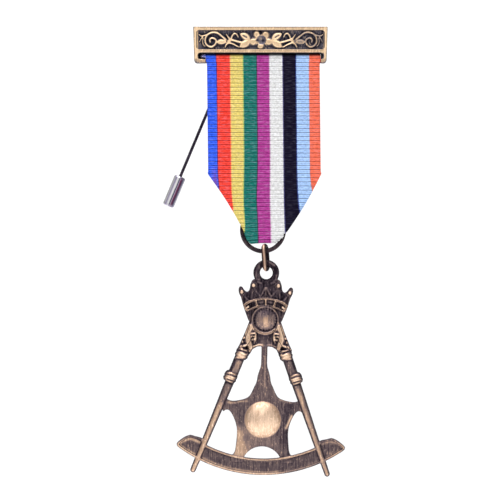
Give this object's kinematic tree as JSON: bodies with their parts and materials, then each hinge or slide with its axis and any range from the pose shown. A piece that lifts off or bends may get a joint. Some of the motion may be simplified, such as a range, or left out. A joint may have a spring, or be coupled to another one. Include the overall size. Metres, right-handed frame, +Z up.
{
  "type": "masonic jewel",
  "caption": "Pin-back jewel: ornamented brooch bar, striped ribbon folded to a point, ring and link, and a cast drop of compasses, crown, star and sector arc.",
  "frame": {"origin": "middle of the back face of the bar's ornamental panel, where the jewel pins against cloth", "axes": "+Z up, -Y towards the viewer, +X to the viewer's right"},
  "size_m": [0.0518, 0.0064, 0.1279],
  "materials": {
    "bar_brass": "antiqued, with bright worn edges and dark recesses",
    "ribbon_cloth": "ribbed grosgrain in nine lengthwise stripes",
    "ring_bronze": "dark antique bronze",
    "link_bronze": "dark antique bronze",
    "jewel_bronze": "antiqued copper bronze, with worn bright edges and dark hollows",
    "needle_steel": "dark steel",
    "clutch_nickel": "polished nickel"
  },
  "bodies": {
    "root": {"bar": "bar_brass", "ribbon": "ribbon_cloth", "ring": "ring_bronze", "needle": "needle_steel"},
    "link_body": {"link": "link_bronze"},
    "jewel_body": {"jewel": "jewel_bronze"},
    "clutch_body": {"clutch": "clutch_nickel"}
  },
  "joints": [
    {"name": "link_swing", "type": "hinge", "parent": "root", "child": "link_body", "pos_m": [0.00134, -0.0017, -0.06001], "axis": [1, 0, 0], "range_deg": [-60, 60]},
    {"name": "jewel_sway", "type": "hinge", "parent": "link_body", "child": "jewel_body", "pos_m": [0.0017, -0.0017, -0.06515], "axis": [0, 1, 0], "range_deg": [-45, 45]},
    {"name": "clutch_pull", "type": "slide", "parent": "root", "child": "clutch_body", "axis": [-0.3859, 0, -0.9225], "range_m": [0, 0.009]}
  ]
}
